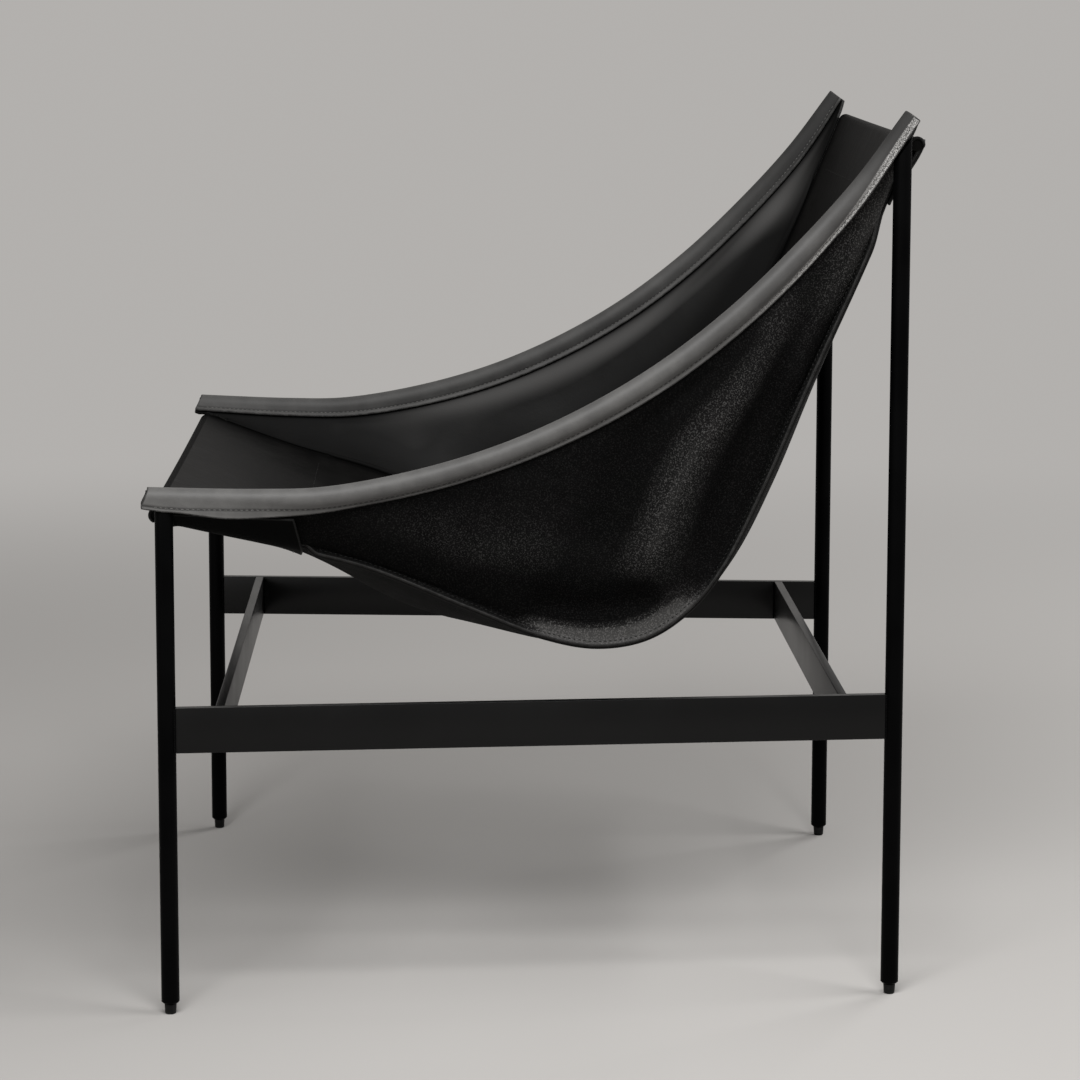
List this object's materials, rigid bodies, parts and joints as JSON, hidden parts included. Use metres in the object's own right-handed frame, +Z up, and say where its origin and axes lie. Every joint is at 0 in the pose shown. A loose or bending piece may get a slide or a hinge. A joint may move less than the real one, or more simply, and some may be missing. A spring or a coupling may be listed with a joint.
{
  "type": "sling lounge chair",
  "caption": "Low lounge chair: a black leather bucket sling sewn over two curved rails, on a welded frame of slim round legs and flat bars.",
  "frame": {"origin": "On the floor, below the middle of the chair's outline in plan.", "axes": "+Z up, the chair faces -Y, +X is the sitter's left."},
  "size_m": [0.7006, 0.7004, 0.7878],
  "materials": {
    "steel": "black powder coat, satin",
    "grain_leather": "black hide, smooth grain side, soft sheen",
    "rough_leather": "black hide, rough flesh side, dull",
    "glide": "black moulded plastic"
  },
  "bodies": {
    "root": {"leg_front_left": "steel", "leg_front_right": "steel", "leg_rear_left": "steel", "leg_rear_right": "steel", "glide_front_left": "glide", "glide_front_right": "glide", "glide_rear_left": "glide", "glide_rear_right": "glide", "stretcher_left": "steel", "stretcher_right": "steel", "crossbar_front": "steel", "crossbar_rear": "steel", "rail_left": "steel", "rail_right": "steel", "side_panel_left": "rough_leather", "side_panel_right": "rough_leather", "rail_sleeve_left": "grain_leather", "rail_sleeve_right": "grain_leather", "centre_panel": "grain_leather", "hem_rod_front": "steel", "hem_rod_top": "steel"}
  },
  "joints": []
}
